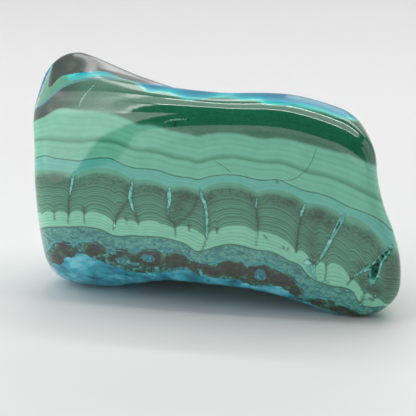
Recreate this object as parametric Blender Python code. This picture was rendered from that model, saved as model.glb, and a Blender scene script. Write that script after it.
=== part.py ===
"""A polished free-form of chrysocolla and malachite: one piece of stone that stands on three small flats.

Run it with blender --background --python part.py, or from Blender's text editor.
Metres, +Z up. X runs along the stone, the banded front face looks along -Y, and the origin
is at the middle of its base. The shape is drawn in millimetres, as a lump bounded by seven
ground faces whose edges were rounded on the wheel, and is then set to its finished size.
"""

import bmesh
import bpy
import numpy as np

# Driving dimensions of the finished stone, in metres
LENGTH = 0.0800
DEPTH = 0.0406
HEIGHT = 0.0479

# The drawing, in millimetres: x to the right, y back from the front face, z up from the table.
# HEART is a point deep in the stone, and BOX is half the size of the block it was ground from.
HEART = (0.0, 17.0, 22.0)
BOX = (38.0, 19.0, 22.0)

# Height of the top face along x, by the front edge, a little behind it, and at the back
TOP_FRONT = [(-42, 42.0), (-28, 44.2), (-12, 44.4), (2, 44.0), (17, 43.6), (26, 41.2), (34, 37.8), (42, 34.0)]
TOP_MIDDLE = [(-42, 46.0), (-28, 46.0), (-16, 45.0), (-2, 44.2), (17, 44.2), (26, 41.8), (34, 38.4), (42, 35.0)]
TOP_BACK = [(-42, 52.5), (-36, 49.8), (-30, 46.2), (-25, 43.6), (-19, 41.4), (-8, 38.0), (17, 34.5), (42, 30.0)]
TOP_MIDDLE_FROM, TOP_MIDDLE_AT = 1.0, 9.0
TOP_BACK_FROM, TOP_BACK_AT = 11.0, 30.0

# The ends, as x at each height. The right one draws in towards the back, and the left one bellies out.
RIGHT_END = [(-4, 37.5), (4, 41.0), (9, 41.4), (14, 40.9), (19, 39.4), (24, 37.4), (30, 36.0), (38, 35.6), (46, 35.0)]
RIGHT_END_TAPER = 0.36
LEFT_END = [(-4, -37.0), (5, -38.0), (13, -38.5), (22, -38.6), (36, -39.2), (48, -41.2)]
LEFT_END_BELLY, LEFT_END_BELLY_DEPTH = 1.5, 30.0

# The back face, as y along x, with its lean and its swell at half height
BACK = [(-42, 35.0), (-24, 39.0), (0, 39.5), (20, 34.0), (42, 27.0)]
BACK_LEAN = 0.12
BACK_SWELL = 3.0

# The front face falls away a little towards the ends, and towards top and bottom
MIDDLE_Z = 25.0
FRONT_FALL_X, FRONT_HALF_X = 1.6, 38.0
FRONT_FALL_Z, FRONT_HALF_Z = 1.2, 22.0

# The facet ground across the upper left corner of the front: its outward normal and distance
FACET_NORMAL = (-0.237, -0.495, 0.836)
FACET_DISTANCE = 39.4

# The underside: an arch along x that fades towards the back, and the three feet that stand below it
ARCH = [(-42, 0.0), (-28, 0.0), (-19, 1.2), (-9, 3.5), (0, 3.8), (10, 3.1), (20, 1.2), (30, 0.0), (42, 0.0)]
ARCH_FADE_FROM, ARCH_FADE_TO = 12.0, 30.0
UNDERSIDE = 0.9
FEET = [(-24.5, 18.0), (28.0, 9.5), (1.0, 32.0)]
FOOT_DROP, FOOT_SPREAD = 2.4, 7.5

# Rounding of the edges, as the distance over which two faces melt into each other
ROUND_BACK, ROUND_ENDS, ROUND_TOP, ROUND_BASE, ROUND_FACET, ROUND_FEET = 12.0, 12.0, 6.0, 7.0, 5.0, 0.8
ROUND_FRONT, ROUND_FRONT_LOWER_LEFT = 5.0, 8.0
LOWER_LEFT_X, LOWER_LEFT_Z = (0, -28), (26, 4)

# The open vugs in the front face: x, z and half width along each, the y of the face there, and the depth.
# A vug narrows to VUG_FLOOR of its width at the floor, and its cutter starts VUG_LIFT before the face.
LONG_SLIT = [(27.9, 22.5, 0.15), (27.1, 20.6, 0.5), (26.2, 18.6, 0.45), (25.0, 16.0, 0.4), (23.7, 13.4, 0.15)]
CORNER_VUG = [(37.3, 16.1, 0.15), (36.3, 14.5, 0.55), (34.9, 12.5, 0.95), (34.3, 11.0, 1.0), (33.9, 9.2, 0.5)]
CORNER_BRANCH = [(33.9, 12.2, 0.35), (32.2, 11.1, 0.3), (30.5, 10.0, 0.15)]
VUGS = {"long_slit": (LONG_SLIT, 0.9, 1.2), "corner_vug": (CORNER_VUG, 2.0, 2.6),
        "corner_branch": (CORNER_BRANCH, 1.6, 0.8)}
VUG_FLOOR, VUG_LIFT = 0.35, 1.5

# The mesh: cells along x, y and z, how many times its ray a point can lie out, and halvings to find it
CELLS = (34, 18, 20)
FARTHEST = 3.0
HALVINGS = 40


def curve_through(points, at):
    """Height at each place of the smooth curve through the points.

    Cubic Hermite pieces, whose slope at a point is that of the chords on its two sides.
    """
    places, heights = np.array(points, float).T
    slopes = np.gradient(heights, places)
    at = np.clip(at, places[0], places[-1])
    i = np.clip(np.searchsorted(places, at) - 1, 0, len(places) - 2)
    step = places[i + 1] - places[i]
    t = (at - places[i]) / step
    return (
        (1 + 2 * t) * (1 - t) ** 2 * heights[i]
        + t * (1 - t) ** 2 * step * slopes[i]
        + t * t * (3 - 2 * t) * heights[i + 1]
        + t * t * (t - 1) * step * slopes[i + 1]
    )


def ease(start, end, at):
    """0 before start, 1 after end, and a smooth S between them."""
    t = np.clip((at - start) / (end - start), 0, 1)
    return t * t * (3 - 2 * t)


def blunt(a, b, reach):
    """The larger of two distances, with the edge where they meet rounded over reach."""
    overlap = np.maximum(reach - np.abs(a - b), 0)
    return np.maximum(a, b) + overlap**2 / (4 * reach)


def top_height(x, y):
    """The top face: its front profile turns into the middle one and then the back one along y."""
    front, middle, back = (curve_through(row, x) for row in (TOP_FRONT, TOP_MIDDLE, TOP_BACK))
    height = front + (middle - front) * ease(TOP_MIDDLE_FROM, TOP_MIDDLE_AT, y)
    return height + (back - middle) * ease(TOP_BACK_FROM, TOP_BACK_AT, y)


def underside_height(x, y):
    """The underside: the arch, with a bell-shaped foot let down at each of the three places."""
    arch = curve_through(ARCH, x) * (1 - ease(ARCH_FADE_FROM, ARCH_FADE_TO, y))
    feet = sum(np.exp(-((x - fx) ** 2 + (y - fy) ** 2) / FOOT_SPREAD**2) for fx, fy in FEET)
    return arch + UNDERSIDE - FOOT_DROP * feet


def outside(x, y, z):
    """How far a point is outside the stone, in millimetres, and negative inside it."""
    right = (x - curve_through(RIGHT_END, z) + RIGHT_END_TAPER * y) / np.hypot(1, RIGHT_END_TAPER)
    belly = LEFT_END_BELLY * np.sin(np.pi * np.clip(y / LEFT_END_BELLY_DEPTH, 0, 1))
    left = curve_through(LEFT_END, z) - belly - x
    lean = BACK_LEAN * (z - MIDDLE_Z) + BACK_SWELL * (z / MIDDLE_Z - 1) ** 2
    back = y - curve_through(BACK, x) + lean
    top = z - top_height(x, y)
    base = underside_height(x, y) - z
    front = FRONT_FALL_X * (x / FRONT_HALF_X) ** 2 + FRONT_FALL_Z * ((z - MIDDLE_Z) / FRONT_HALF_Z) ** 2 - y
    facet = np.tensordot(FACET_NORMAL, np.stack([x, y, z]), 1) - FACET_DISTANCE
    lower_left = ease(*LOWER_LEFT_X, x) * ease(*LOWER_LEFT_Z, z)
    gap = blunt(blunt(back, left, ROUND_BACK), right, ROUND_ENDS)
    gap = blunt(blunt(gap, top, ROUND_TOP), base, ROUND_BASE)
    gap = blunt(gap, facet, ROUND_FACET)
    gap = blunt(gap, front, ROUND_FRONT + ROUND_FRONT_LOWER_LEFT * lower_left)
    return blunt(gap, -z, ROUND_FEET)


def surface_points(rays):
    """Where each ray from the heart of the stone leaves it, found by halving the stretch it must be in."""
    near, far = np.zeros(len(rays)), np.full(len(rays), FARTHEST)
    for _ in range(HALVINGS):
        middle = (near + far) / 2
        inside = outside(*(rays * middle[:, None] + HEART).T) < 0
        near, far = np.where(inside, middle, near), np.where(inside, far, middle)
    return rays * near[:, None] + HEART


def box_grid(cells):
    """Points and four-sided faces of a closed box from -1 to 1, with that many cells along x, y and z."""
    corners, faces, total = [], [], 0
    for axis in range(3):
        a, b = (axis + 1) % 3, (axis + 2) % 3
        across, along = np.meshgrid(np.arange(cells[a] + 1), np.arange(cells[b] + 1), indexing="ij")
        for side in (0, cells[axis]):
            grid = np.zeros(across.shape + (3,), int)
            grid[..., a], grid[..., b], grid[..., axis] = across, along, side
            number = total + np.arange(across.size).reshape(across.shape)
            ring = [number[:-1, :-1], number[1:, :-1], number[1:, 1:], number[:-1, 1:]]
            faces.append(np.stack(ring if side else ring[::-1], -1).reshape(-1, 4))
            corners.append(grid.reshape(-1, 3))
            total += across.size
    steps, index = np.unique(np.concatenate(corners), axis=0, return_inverse=True)
    return steps / np.array(cells) * 2 - 1, index.reshape(-1)[np.concatenate(faces)]


def finish_from(points):
    """Scale and shift that set the drawing to its finished size, centred over the origin and standing on it."""
    low, high = points.min(0), points.max(0)
    scale = np.array([LENGTH, DEPTH, HEIGHT]) / (high - low)
    middle_of_base = np.array([(low[0] + high[0]) / 2, (low[1] + high[1]) / 2, low[2]])
    return scale, -middle_of_base * scale


def vug_outline(course, y, width):
    """A closed ring round a course at one y, at width times its half widths on both sides."""
    x, z, half = np.array(course).T
    along = np.stack([np.gradient(x), np.gradient(z)])
    side_x, side_z = np.stack([-along[1], along[0]]) / np.hypot(*along) * half * width
    left = np.stack([x + side_x, np.full_like(x, y), z + side_z], -1)
    right = np.stack([x - side_x, np.full_like(x, y), z - side_z], -1)
    return np.concatenate([left, right[::-1]])


def vug_cutter(name, course, face, depth, scale, shift):
    """A tapered tongue that follows a vug, from just before the face to the floor of the vug."""
    mouth_width = 1 + (1 - VUG_FLOOR) * VUG_LIFT / depth
    mouth = vug_outline(course, face - VUG_LIFT, mouth_width)
    floor = vug_outline(course, face + depth, VUG_FLOOR)
    work = bmesh.new()
    rings = [[work.verts.new(point) for point in ring * scale + shift] for ring in (mouth, floor)]
    for a, b, c, d in zip(*(row[i:] + row[:i] for row in rings for i in (0, 1))):
        work.faces.new((a, b, d, c))
    for ring in rings:
        work.faces.new(ring)
    bmesh.ops.recalc_face_normals(work, faces=work.faces)
    mesh = bpy.data.meshes.new(name)
    work.to_mesh(mesh)
    work.free()
    cutter = bpy.data.objects.new(name, mesh)
    cutter.hide_render = True
    cutter.display_type = "WIRE"
    bpy.context.scene.collection.objects.link(cutter)
    return cutter


def malachite():
    """One green for the whole stone, with the gloss of its polish."""
    material = bpy.data.materials.new("polished_malachite")
    material.use_nodes = True
    shader = material.node_tree.nodes["Principled BSDF"]
    shader.inputs["Base Color"].default_value = (0.16, 0.34, 0.27, 1.0)
    shader.inputs["Roughness"].default_value = 0.1
    shader.inputs["Metallic"].default_value = 0.0
    return material


def polished_stone():
    """The box grid blown out from the heart to the surface of the stone, with the vugs cut in its face."""
    rays, faces = box_grid(CELLS)
    points = surface_points(rays * BOX)
    scale, shift = finish_from(points)
    mesh = bpy.data.meshes.new("polished_stone")
    mesh.from_pydata((points * scale + shift).tolist(), [], faces.tolist())
    mesh.shade_smooth()
    mesh.materials.append(malachite())
    stone = bpy.data.objects.new("polished_stone", mesh)
    bpy.context.scene.collection.objects.link(stone)
    for name, (course, face, depth) in VUGS.items():
        cut = stone.modifiers.new(name, "BOOLEAN")
        cut.operation = "DIFFERENCE"
        cut.solver = "EXACT"
        cut.object = vug_cutter(name, course, face, depth, scale, shift)


def main():
    for obj in list(bpy.data.objects):
        bpy.data.objects.remove(obj)
    polished_stone()


main()
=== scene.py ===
"""The looks of a polished free-form of chrysocolla and malachite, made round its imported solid.

The stone is drawn in millimetres, x to the right, y back from the front face and z up from the table, and
is then fitted to the box of its solid, in metres. The surface is where the rounded largest of the distances
from its ground faces is zero. The layers of the mineral are heights over x that dip towards the back, so
they run through the whole stone and come out on every side of it.
"""

import math

import bpy
import numpy as np
from mathutils import Matrix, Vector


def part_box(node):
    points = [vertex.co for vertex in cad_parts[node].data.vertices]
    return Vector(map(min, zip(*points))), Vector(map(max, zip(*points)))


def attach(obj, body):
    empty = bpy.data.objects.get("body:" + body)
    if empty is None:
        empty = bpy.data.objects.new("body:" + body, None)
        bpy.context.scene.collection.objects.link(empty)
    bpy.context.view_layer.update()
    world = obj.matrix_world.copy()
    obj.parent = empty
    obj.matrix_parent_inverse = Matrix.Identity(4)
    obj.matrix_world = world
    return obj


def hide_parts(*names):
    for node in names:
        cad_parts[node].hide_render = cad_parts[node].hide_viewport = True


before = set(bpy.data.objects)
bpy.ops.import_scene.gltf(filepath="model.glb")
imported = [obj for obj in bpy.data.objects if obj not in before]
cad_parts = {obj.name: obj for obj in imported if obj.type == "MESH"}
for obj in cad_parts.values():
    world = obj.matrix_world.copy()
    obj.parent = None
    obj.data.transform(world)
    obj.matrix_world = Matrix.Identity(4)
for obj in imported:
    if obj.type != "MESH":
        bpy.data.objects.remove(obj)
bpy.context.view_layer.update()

# The shape, in millimetres, as in the construction of the solid
HEART = (0.0, 17.0, 22.0)
BOX = (38.0, 19.0, 22.0)
TOP_FRONT = [
    (-42, 42.0), (-28, 44.2), (-12, 44.4), (2, 44.0), (17, 43.6), (26, 41.2), (34, 37.8), (42, 34.0),
]
TOP_MIDDLE = [
    (-42, 46.0), (-28, 46.0), (-16, 45.0), (-2, 44.2), (17, 44.2), (26, 41.8), (34, 38.4), (42, 35.0),
]
TOP_BACK = [
    (-42, 52.5), (-36, 49.8), (-30, 46.2), (-25, 43.6), (-19, 41.4), (-8, 38.0), (17, 34.5), (42, 30.0),
]
TOP_MIDDLE_FROM, TOP_MIDDLE_AT = 1.0, 9.0
TOP_BACK_FROM, TOP_BACK_AT = 11.0, 30.0
RIGHT_END = [
    (-4, 37.5), (4, 41.0), (9, 41.4), (14, 40.9), (19, 39.4), (24, 37.4), (30, 36.0), (38, 35.6),
    (46, 35.0),
]
RIGHT_END_TAPER = 0.36
LEFT_END = [(-4, -37.0), (5, -38.0), (13, -38.5), (22, -38.6), (36, -39.2), (48, -41.2)]
LEFT_END_BELLY, LEFT_END_BELLY_DEPTH = 1.5, 30.0
BACK = [(-42, 35.0), (-24, 39.0), (0, 39.5), (20, 34.0), (42, 27.0)]
BACK_LEAN = 0.12
BACK_SWELL = 3.0
MIDDLE_Z = 25.0
FRONT_FALL_X, FRONT_HALF_X = 1.6, 38.0
FRONT_FALL_Z, FRONT_HALF_Z = 1.2, 22.0
ROLL_X, ROLL_Z, ROLL_FROM, ROLL_REACH, ROLL_BEND = -0.64, 0.77, 29.5, 14.0, 0.0065
FACET_NORMAL = (-0.237, -0.495, 0.836)
FACET_DISTANCE = 39.4
ARCH = [(-42, 0.0), (-28, 0.0), (-19, 1.2), (-9, 3.5), (0, 3.8), (10, 3.1), (20, 1.2), (30, 0.0), (42, 0.0)]
ARCH_FADE_FROM, ARCH_FADE_TO = 12.0, 30.0
UNDERSIDE = 0.9
FEET = [(-24.5, 18.0), (28.0, 9.5), (1.0, 32.0)]
FOOT_DROP, FOOT_SPREAD = 2.4, 7.5
ROUND_BACK, ROUND_ENDS, ROUND_TOP, ROUND_BASE, ROUND_FACET, ROUND_FEET = 12.0, 12.0, 6.0, 7.0, 5.0, 0.8
ROUND_FRONT, ROUND_FRONT_LOWER_LEFT = 5.0, 8.0
LOWER_LEFT_X, LOWER_LEFT_Z = (0, -28), (26, 4)
FARTHEST = 3.0
HALVINGS = 40

# The fine mesh: its cells along x, y and z, and where each set of grid lines is crowded, as the place, the
# reach and how much
CELLS = (216, 44, 120)
CROWDED = ((0.75, 0.3, 0.8), (-1.0, 0.5, 1.5), (-0.4, 0.3, 0.4))

# The open vugs in the front face: places along each as x, z and half width, how deep each goes, and how wide
# their walls are
LONG_SLIT = [(28.1, 22.4, 0.1), (27.4, 21.3, 0.44), (26.5, 19.5, 0.28), (25.4, 17.2, 0.1)]
CORNER_VUG = [(37.4, 16.4, 0.15), (36.6, 15.0, 0.4), (35.4, 13.6, 0.5), (34.4, 11.6, 0.9), (34.0, 9.7, 0.6),
              (33.8, 8.8, 0.25)]
CORNER_BRANCH = [(33.9, 12.2, 0.3), (32.2, 11.1, 0.2), (30.5, 9.9, 0.1)]
VUGS = [(LONG_SLIT, 0.35), (CORNER_VUG, 2.4), (CORNER_BRANCH, 0.4)]
VUG_WALL = 0.45

# The layers. A place in them is x and the level w, its height plus LAYER_DIP for each millimetre it lies
# behind FACE_Y. Each layer ends at a line of levels along x, and they are listed from the base upwards.
LAYER_DIP, FACE_Y = 0.3, 1.0
BLUE_BASE_TOP = [
    (-41, 7.6), (-36.9, 7.4), (-33.4, 8.6), (-31.0, 9.8), (-28.4, 10.5), (-25.6, 10.0), (-22, 8.6),
    (-19, 7.6), (-12.5, 7.4), (-8.3, 8.0), (-4.9, 8.6), (-1.7, 7.6), (3, 7.3), (6, 7.2), (10, 6.2),
    (14.9, 6.5), (16.6, 5.7), (18.5, 4.0), (20.4, 3.8), (23, 2.4), (26.5, 1.8), (32, 0.6), (41, 0.0),
]
NODULES_TOP = [
    (-41, 9.8), (-36.4, 10.7), (-34.1, 12.5), (-30, 12.2), (-27.1, 13.1), (-24.2, 12.8), (-22.4, 11.5),
    (-19.5, 11.8), (-17.3, 11.6), (-12.2, 12.3), (-8.1, 12.3), (-5.1, 11.9), (-3.5, 10.7), (-1.6, 9.7),
    (0.8, 10.2), (3.7, 11.2), (5.9, 11.1), (8, 10.4), (11.2, 10.8), (13.6, 10.3), (15.8, 9.4), (18.4, 7.3),
    (19.4, 5.8), (20.5, 4.3), (22.6, 4.5), (25.2, 4.0), (27.3, 2.8), (32, 1.4), (41, 0.8),
]
GREY_TEAL_TOP = [
    (-41, 15.0), (-35.4, 15.8), (-31.3, 16.1), (-24.1, 16.2), (-22.7, 15.9), (-20.8, 15.1), (-15.8, 15.2),
    (-8.9, 15.1), (-4.8, 14.1), (-2.3, 12.7), (-0.3, 13.3), (1.8, 14.1), (4.1, 14.7), (6.5, 14.7),
    (9.3, 14.1), (14, 13.5), (16.7, 12.2), (19.3, 11.1), (20.6, 9.5), (22.2, 8.4), (23.9, 7.8), (26.1, 7.3),
    (28.3, 7.2), (30.3, 6.2), (31.2, 4.5), (33.6, 3.5), (36.1, 3.9), (41, 3.6),
]
TEAL_TOP = [
    (-41, 30.4), (-38.1, 30.8), (-35.9, 31.2), (-33.8, 30.8), (-29.8, 30.5), (-28.2, 30.4), (-25.9, 30.9),
    (-22.9, 31.3), (-21, 31.3), (-18.1, 30.1), (-16.1, 29.6), (-12.3, 29.5), (-10.4, 29.3), (-7.5, 28.5),
    (-3.8, 28.1), (-2, 27.9), (0, 28.6), (1.9, 29.0), (4.7, 29.3), (6.5, 29.3), (9.3, 28.8), (11.1, 28.6),
    (15.1, 28.8), (16.9, 28.0), (19.8, 27.0), (23.1, 26.5), (25.7, 25.7), (28.9, 24.2), (31.8, 23.3),
    (34.3, 22.4), (35.9, 21.4), (37.6, 19.6), (41, 17.0),
]
LOWER_GREEN_TOP = [
    (-41, 34.5), (-36.4, 34.8), (-27.8, 34.7), (-24.9, 35.1), (-21.9, 35.0), (-20, 34.8), (-18.1, 34.3),
    (-16.1, 33.6), (-12.3, 33.4), (-9.5, 33.0), (-7, 32.3), (-4.7, 32.2), (-2, 31.6), (0, 32.3),
    (2.8, 32.9), (5.5, 33.1), (8.3, 32.8), (11.1, 32.5), (15.6, 32.5), (18.3, 31.7), (20.1, 31.1),
    (23.8, 30.5), (26.5, 29.8), (29.2, 28.8), (31.9, 27.6), (34.4, 26.4), (41, 23.0),
]
UPPER_GREEN_TOP = [
    (-41, 38.8), (-37.1, 39.8), (-34, 41.2), (-30, 41.3), (-25.3, 41.3), (-22.4, 41.1), (-19.3, 40.4),
    (-16.7, 39.5), (-15.3, 38.9), (-12.4, 38.9), (-8.5, 38.0), (-3.8, 37.3), (-2, 37.0), (-0.7, 37.4),
    (1.8, 37.9), (4.5, 38.1), (7.3, 37.9), (9.7, 37.4), (11.4, 37.3), (13.7, 37.5), (16.4, 37.5),
    (20, 36.7), (22.2, 36.3), (26.3, 35.5), (29, 35.0), (31.7, 34.0), (33.6, 33.3), (41, 30.0),
]
DARK_GREEN_TOP = [
    (-41, 41.5), (-37.1, 43.5), (-35.7, 45.0), (-34.3, 46.3), (-32.1, 47.9), (-29.7, 49.0), (-24, 49.4),
    (-20.9, 49.0), (-17.2, 47.5), (-15.5, 46.6), (-10.3, 46.2), (-7.8, 45.3), (-5.5, 44.6), (-2.7, 44.8),
    (-0.2, 45.5), (2, 45.5), (5.5, 45.0), (9, 45.0), (11.1, 44.4), (15.7, 44.3), (19.3, 43.9), (22.9, 43.3),
    (25.7, 42.5), (28, 42.4), (41, 42.0),
]
CAP_TOP = [
    (-42, 58), (-40.6, 56), (-39.6, 51.0), (-38.6, 47.4), (-37.5, 46.8), (-36.8, 48.2), (-35.0, 49.3),
    (-33.8, 49.8), (-31.7, 50.5), (-27.9, 50.8), (-25.2, 50.4), (-21.5, 49.7), (-18, 50.4), (-14, 54),
    (-8, 58), (41, 60),
]
# The least height of a layer and of the gap between two tops, and the depths over which the bottom and the
# top layer are counted
THINNEST, TOP_GAP = 0.3, 0.02
BASE_DEPTH, HORN_DEPTH = 4, 6
# How thick the mint rim under the blue cap is, along x
MINT_RIM = [
    (-41, 18), (-36.5, 15), (-35, 8), (-34, 3.4), (-33, 2.0), (-31.8, 1.5), (-30, 1.1), (-26, 0.7),
    (-15, 0.5), (0, 0.7), (11, 0.6), (20, 0.9), (41, 1.0),
]
# The thin blue line at the foot of the rim: its height above it, half width, and where along x it fades in
BLUE_LINE_RISE, BLUE_LINE_REACH, BLUE_LINE_FROM = 0.15, 0.3, (-22, -25)

# The two domed lines: x and level of each cusp, and how far the dome to its right rises above their chord
DOMES_TOP = [
    (-41, 27.2, 0.9), (-28.6, 27.4, 2.0), (-16, 27.0, 0.8), (-8.2, 25.9, 0.6), (-1.7, 25.7, 2.0),
    (10.2, 26.0, 1.6), (20.6, 24.4, 0.9), (27.9, 22.2, 1.9), (36.6, 16.4, 0.7), (41, 14.5, 0),
]
PALE_TOP = [
    (-41, 17.8, 1.0), (-37, 18.4, 0.7), (-33.6, 18.7, 0.8), (-30.3, 18.5, 1.1), (-26.7, 18.9, 1.5),
    (-20, 17.2, 0.9), (-17.6, 18.2, 0.35), (-14.9, 17.8, 0.8), (-10, 18.0, 0.25), (-7.1, 17.2, 0.55),
    (-4.1, 17.7, 0.5), (-0.4, 15.6, 0.8), (1.9, 17.3, 1.3), (9.7, 17.9, 0.5), (16, 16.5, 0.3),
    (18.5, 13.8, 1.5), (21.4, 11.8, 0), (22.3, 10.9, 1.3), (24.5, 11.2, 2.2), (29.5, 8.6, 1.2),
    (32, 5.8, 0), (32.5, 5.5, 1.1), (34, 5, 0.9), (36.3, 3.8, 0.3), (41, 3.6, 0),
]
DOMES_ROUNDNESS, PALE_ROUNDNESS = 2.2, 2.8
# Height of the domed band along x, which spaces its growth lines, and of the pale band
DOMED_BAND = [(-41, 9.3), (-22, 9.6), (-5, 8.6), (5, 9.1), (15, 9.8), (24, 11.0), (33, 12.5), (41, 11.5)]
PALE_BAND = 3.0

# Behind the front face the domes come from cells in x and y: their spacing, how fast they round off, and how
# far they rise above the line of the cusps
BACK_DOMES, BACK_DOME_CURVE, BACK_DOME_RISE = 9.0, 7.0, 2.2
BACK_PALE, BACK_PALE_CURVE, BACK_PALE_RISE = 3.6, 3.0, 0.8
# Where along y the front pattern ends and the one behind it begins, and how far up and back the veins of the
# front still count
FRONT_PATTERN_TO, BACK_PATTERN_FROM = 3.5, 9.0
FACET_Z, FACET_Y = 40, 14
# The jitter of the seeds of those cells, and the lengths of the waves of the layers with the share of each
JITTER = 0.36
WAVES = [(31, 0.4), (19, 0.3), (12, 0.2), (7, 0.1)]
# Behind, the layers roll, the far edge of the cap wanders, and veins lie between the domes: their greatest
# half width, the bed they are widest at, their reach in beds, and how open they are: mean, swing and range
BACK_WAVE = 1.1
CAP_WANDER, CAP_WANDER_FROM = 5.0, (-26, -20)
BACK_VEIN, BACK_VEIN_BED, BACK_VEIN_REACH = 0.42, 3.72, 0.3
OPEN_MEAN, OPEN_SWING, OPEN_RANGE = 0.6, 1.6, (0.1, 1.3)
# The seams there, in beds: where they run, their half widths, and where and how fast the small ones fade out
BACK_SEAM_BEDS, DOME_SEAM, PALE_SEAM = (2.3, 3.9), 0.1, 0.06
PALE_SEAM_TO, PALE_SEAM_FADE = 3.05, 9
BACK_DUSK, BACK_DUSK_REACH, BACK_DUSK_FROM, BACK_DUSK_TO = 0.7, 1.1, (3.2, 3.5), (3.98, 3.85)
SEED = 11

# Veins of cyan chrysocolla in the front face: x, level and half width along each
VEINS = [
    [(-29.0, 28.2, 0.1), (-29.4, 26.6, 0.26), (-29.8, 24.6, 0.24), (-30.0, 23.0, 0.1)],
    [(-16.0, 27.4, 0.1), (-16.4, 25.3, 0.26), (-16.7, 23.2, 0.34), (-16.2, 21.4, 0.26), (-15.8, 20.4, 0.1)],
    [(-8.1, 26.2, 0.1), (-8.3, 24.7, 0.4), (-8.2, 23.4, 0.34), (-8.4, 22.0, 0.26), (-8.5, 20.1, 0.08)],
    [(-1.7, 26.2, 0.1), (-1.4, 24.6, 0.3), (-0.6, 23.0, 0.3), (-0.3, 20.7, 0.26), (-0.2, 18.0, 0.28),
     (-0.3, 15.8, 0.16)],
    [(10.2, 25.0, 0.06), (10.0, 23.6, 0.18), (10.1, 23.0, 0.06)],
    [(8.9, 25.3, 0.06), (8.8, 24.7, 0.12)],
    [(20.2, 24.4, 0.12), (19.8, 23.4, 0.24), (19.4, 22.5, 0.26), (19.3, 21.6, 0.12)],
    [(28.3, 22.9, 0.1), (27.4, 21.3, 0.56), (26.5, 19.5, 0.42), (25.4, 17.2, 0.26), (24.4, 15.2, 0.3),
     (23.3, 13.1, 0.2), (22.2, 11.6, 0.1)],
    [(20.0, 12.0, 0.2), (20.6, 12.3, 0.36), (20.9, 11.5, 0.4), (21.1, 10.1, 0.16)],
    [(20.6, 12.2, 0.3), (21.6, 11.9, 0.14)],
    [(22.2, 11.6, 0.14), (21.9, 10.5, 0.28), (21.9, 9.6, 0.28), (22.4, 8.7, 0.16)],
    [(23.7, 8.2, 0.08), (24.3, 8.1, 0.2), (25.0, 8.2, 0.08)],
    [(37.6, 17.1, 0.1), (36.7, 15.2, 0.58), (35.4, 13.7, 0.7), (34.4, 11.6, 1.1), (34.0, 9.6, 0.8),
     (33.8, 8.5, 0.4)],
    [(33.9, 12.3, 0.4), (32.2, 11.2, 0.3), (30.3, 9.9, 0.1)],
    [(34.6, 5.9, 0.25), (34.9, 6.1, 0.1)],
    [(31.5, 3.9, 0.25), (31.9, 4.2, 0.2)],
    [(-20.1, 18.0, 0.08), (-20.2, 17.2, 0.24), (-20.4, 16.5, 0.08)],
    [(-29.1, 42.0, 0.14), (-28.8, 43.6, 0.26), (-28.2, 45.2, 0.22), (-27.5, 46.7, 0.18),
     (-27.2, 48.3, 0.08)],
    [(-9.4, 39.7, 0.08), (-8.4, 40.2, 0.18), (-6.6, 40.5, 0.2), (-4.4, 40.7, 0.12)],
]
# Dark seams that go on from the veins and lie between the domes
SEAMS = [
    [(-29.9, 23.4, 0.06), (-30.3, 21.6, 0.11), (-30.3, 18.8, 0.07), (-30.5, 17.0, 0.03)],
    [(-26.85, 20.4, 0.02), (-26.8, 19.2, 0.05), (-26.8, 17.2, 0.03)],
    [(-15.8, 20.6, 0.06), (-15.3, 19.2, 0.08), (-14.9, 17.8, 0.06)],
    [(-16.9, 22.9, 0.09), (-18.8, 20.5, 0.09), (-20.0, 18.2, 0.08), (-20.4, 16.2, 0.03)],
    [(-8.4, 20.2, 0.06), (-8.3, 19.4, 0.11), (-7.0, 18.2, 0.12), (-7.1, 15.8, 0.04)],
    [(-2.1, 24.4, 0.11), (-3.2, 21.6, 0.09), (-5.0, 19.6, 0.04), (-7.0, 18.1, 0.06)],
    [(-0.3, 16.0, 0.06), (-0.7, 14.6, 0.09), (-1.4, 13.0, 0.08)],
    [(10.1, 23.0, 0.06), (10.2, 21.8, 0.13), (10.4, 20.0, 0.07), (10.3, 17.6, 0.06), (10.1, 14.8, 0.03)],
    [(19.3, 21.6, 0.07), (19.1, 20.4, 0.12), (18.8, 18.7, 0.09), (18.4, 15.0, 0.11), (18.2, 14.0, 0.04)],
    [(23.3, 13.2, 0.07), (22.4, 11.9, 0.11), (20.8, 12.8, 0.07)],
    [(30.2, 9.8, 0.06), (29.4, 8.8, 0.11), (28.8, 7.9, 0.04)],
    [(33.8, 8.4, 0.11), (32.8, 6.8, 0.09), (31.6, 4.2, 0.07)],
    [(34.8, 6.0, 0.08), (33.6, 5.4, 0.11), (32.7, 5.0, 0.06)],
    [(-33.6, 19.6, 0.03), (-33.6, 17.6, 0.03)],
    [(-17.6, 19.0, 0.03), (-17.6, 17.5, 0.03)],
    [(-4.1, 18.4, 0.03), (-4.1, 17.0, 0.02)],
    [(1.9, 18.0, 0.03), (1.9, 16.9, 0.03)],
    [(24.5, 11.6, 0.05), (24.5, 10.0, 0.05), (24.2, 8.4, 0.02)],
    [(34.0, 5.5, 0.05), (34.0, 4.3, 0.02)],
    [(7.8, 29.6, 0.02), (8.1, 29.5, 0.06)],
    [(14.1, 28.8, 0.04), (14.5, 28.7, 0.08), (14.3, 28.2, 0.02)],
    [(11.7, 17.2, 0.07), (12.0, 16.8, 0.11), (12.3, 16.6, 0.03)],
    [(15.6, 15.1, 0.04), (15.8, 14.7, 0.09)],
    [(16.8, 15.0, 0.03), (16.5, 14.4, 0.07)],
    [(-7.1, 40.1, 0.03), (-7.2, 39.0, 0.09)],
]
SEAM_SOFTNESS, SEAM_SHADE_REACH, SEAM_SHADE = 0.12, 0.7, 0.35
# How far the growth lines sag at a seam, over what reach, and from which bed on
SAG, SAG_REACH, SAG_BEDS = 0.5, 1.8, (2.6, 3.2)
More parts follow.
